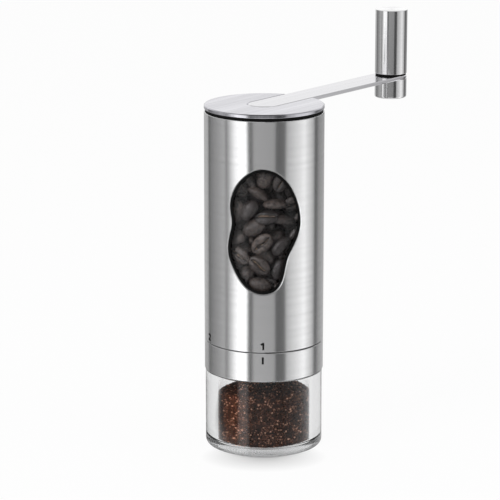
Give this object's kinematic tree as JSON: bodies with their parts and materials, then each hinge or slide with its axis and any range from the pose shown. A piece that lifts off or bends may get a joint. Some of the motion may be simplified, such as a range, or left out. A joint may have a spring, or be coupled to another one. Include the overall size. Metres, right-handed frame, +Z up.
{
  "type": "hand crank coffee grinder",
  "caption": "Slim cylindrical hand coffee grinder with a flush crank lid, bean-shaped hopper window, numbered grind-setting ring and clear push-on jar.",
  "frame": {"origin": "centre of the jar's flat underside, where the grinder stands", "axes": "+Z up along the drive axis; the window faces -Y; the crank arm rests 52.25 degrees from +X towards +Y, as pictured"},
  "size_m": [0.093, 0.1102, 0.1852],
  "materials": {
    "brushed_steel": "fine brushing round the axis",
    "hardware_steel": "turned",
    "black_plastic": "matt",
    "black_rubber": "satin",
    "smoky_acrylic": "clear, smoke tinted",
    "clear_acrylic": "clear, polished",
    "burr_ceramic": "fired",
    "bush_brass": "turned"
  },
  "bodies": {
    "mill_body": {"outer_sleeve": "brushed_steel", "window_gasket": "black_rubber", "hopper_liner": "smoky_acrylic", "mill_housing": "black_plastic", "bearing_bridge": "hardware_steel", "bridge_screws": "hardware_steel", "shaft_bush_upper": "bush_brass", "shaft_bush_lower": "bush_brass"},
    "drive": {"drive_shaft": "hardware_steel", "thrust_washer": "hardware_steel", "shaft_clip": "hardware_steel", "burr_spring": "hardware_steel", "inner_burr": "burr_ceramic", "burr_washer": "hardware_steel", "burr_nut": "hardware_steel"},
    "crank": {"lid_plate": "brushed_steel", "crank_arm": "brushed_steel", "lid_plug": "black_plastic", "drive_socket": "hardware_steel", "lid_screws": "hardware_steel", "grip_foot": "brushed_steel", "grip_axle": "hardware_steel", "axle_clip": "hardware_steel", "grip_washer": "black_plastic"},
    "grip": {"grip_sleeve": "brushed_steel", "grip_bush_lower": "black_plastic", "grip_bush_upper": "black_plastic"},
    "adjust_ring": {"ring_shell": "brushed_steel", "ring_insert": "black_plastic"},
    "burr_carrier_body": {"burr_carrier": "black_plastic", "outer_burr": "burr_ceramic", "burr_retainer": "hardware_steel"},
    "jar_body": {"jar": "clear_acrylic", "jar_seal": "black_rubber"}
  },
  "joints": [
    {"name": "crank_spin", "type": "hinge", "parent": "mill_body", "child": "drive", "pos_m": [0, 0, 0.1], "axis": [0, 0, 1], "continuous": true},
    {"name": "lid_lift", "type": "slide", "parent": "drive", "child": "crank", "axis": [0, 0, 1], "range_m": [0, 0.06]},
    {"name": "grip_spin", "type": "hinge", "parent": "crank", "child": "grip", "pos_m": [0.05908, 0.0763, 0.17], "axis": [0, 0, 1], "continuous": true},
    {"name": "ring_turn", "type": "hinge", "parent": "mill_body", "child": "adjust_ring", "pos_m": [0, 0, 0.04], "axis": [0, 0, -1], "range_deg": [0, 300]},
    {"name": "burr_rise", "type": "slide", "parent": "mill_body", "child": "burr_carrier_body", "axis": [0, 0, 1], "range_m": [0, 0.0013]},
    {"name": "jar_pull", "type": "slide", "parent": "adjust_ring", "child": "jar_body", "axis": [0, 0, -1], "range_m": [0, 0.05]}
  ],
  "couplings": [
    {"joint": "burr_rise", "follows": "ring_turn", "m_per_rad": 0.00023873}
  ]
}
